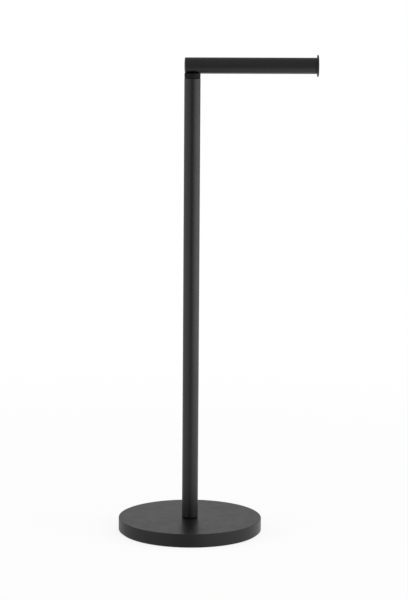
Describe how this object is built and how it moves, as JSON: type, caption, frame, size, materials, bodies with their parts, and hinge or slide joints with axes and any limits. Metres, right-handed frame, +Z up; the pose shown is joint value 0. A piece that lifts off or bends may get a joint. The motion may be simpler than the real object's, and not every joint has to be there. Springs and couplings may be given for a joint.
{
  "type": "toilet paper holder",
  "caption": "Free-standing toilet roll holder: a weighted round base, a slim round post and a horizontal round arm that swivels on the post, with a flange that keeps the roll on.",
  "frame": {"origin": "on the floor, on the post's axis, in the plane of the foot pad's underside", "axes": "+Z up along the post, +X along the arm from the post to the roll stop, +Y away from the viewer"},
  "size_m": [0.2321, 0.17, 0.57],
  "materials": {
    "coat": "fine matte black powder coat on steel",
    "collar_plastic": "turned matte black plastic",
    "pad_foam": "closed-cell foam sheet",
    "cast_weight": "raw sand casting",
    "zinc_steel": "bright zinc plate",
    "bush_brass": "turned brass",
    "spring_steel": "oiled spring steel",
    "washer_plastic": "moulded black nylon"
  },
  "bodies": {
    "stand": {"foot_pad": "pad_foam", "bottom_plate": "zinc_steel", "plate_screws": "zinc_steel", "ballast_disc": "cast_weight", "base_cover": "coat", "base_bolt": "zinc_steel", "base_lock_washer": "spring_steel", "base_flat_washer": "zinc_steel", "post_seat_ring": "collar_plastic", "post_foot_insert": "zinc_steel", "post_tube": "coat", "post_top_bush": "bush_brass", "thrust_washer": "washer_plastic"},
    "arm": {"disc_springs": "spring_steel", "pivot_washer": "zinc_steel", "pivot_nut": "zinc_steel", "pivot_stud": "zinc_steel", "swivel_collar": "collar_plastic", "arm_tube": "coat", "arm_anchor": "zinc_steel", "arm_end_cap": "coat", "roll_stop": "coat"}
  },
  "joints": [
    {"name": "arm_swivel", "type": "hinge", "parent": "stand", "child": "arm", "pos_m": [0, 0, 0.543], "axis": [0, 0, 1], "continuous": true}
  ]
}
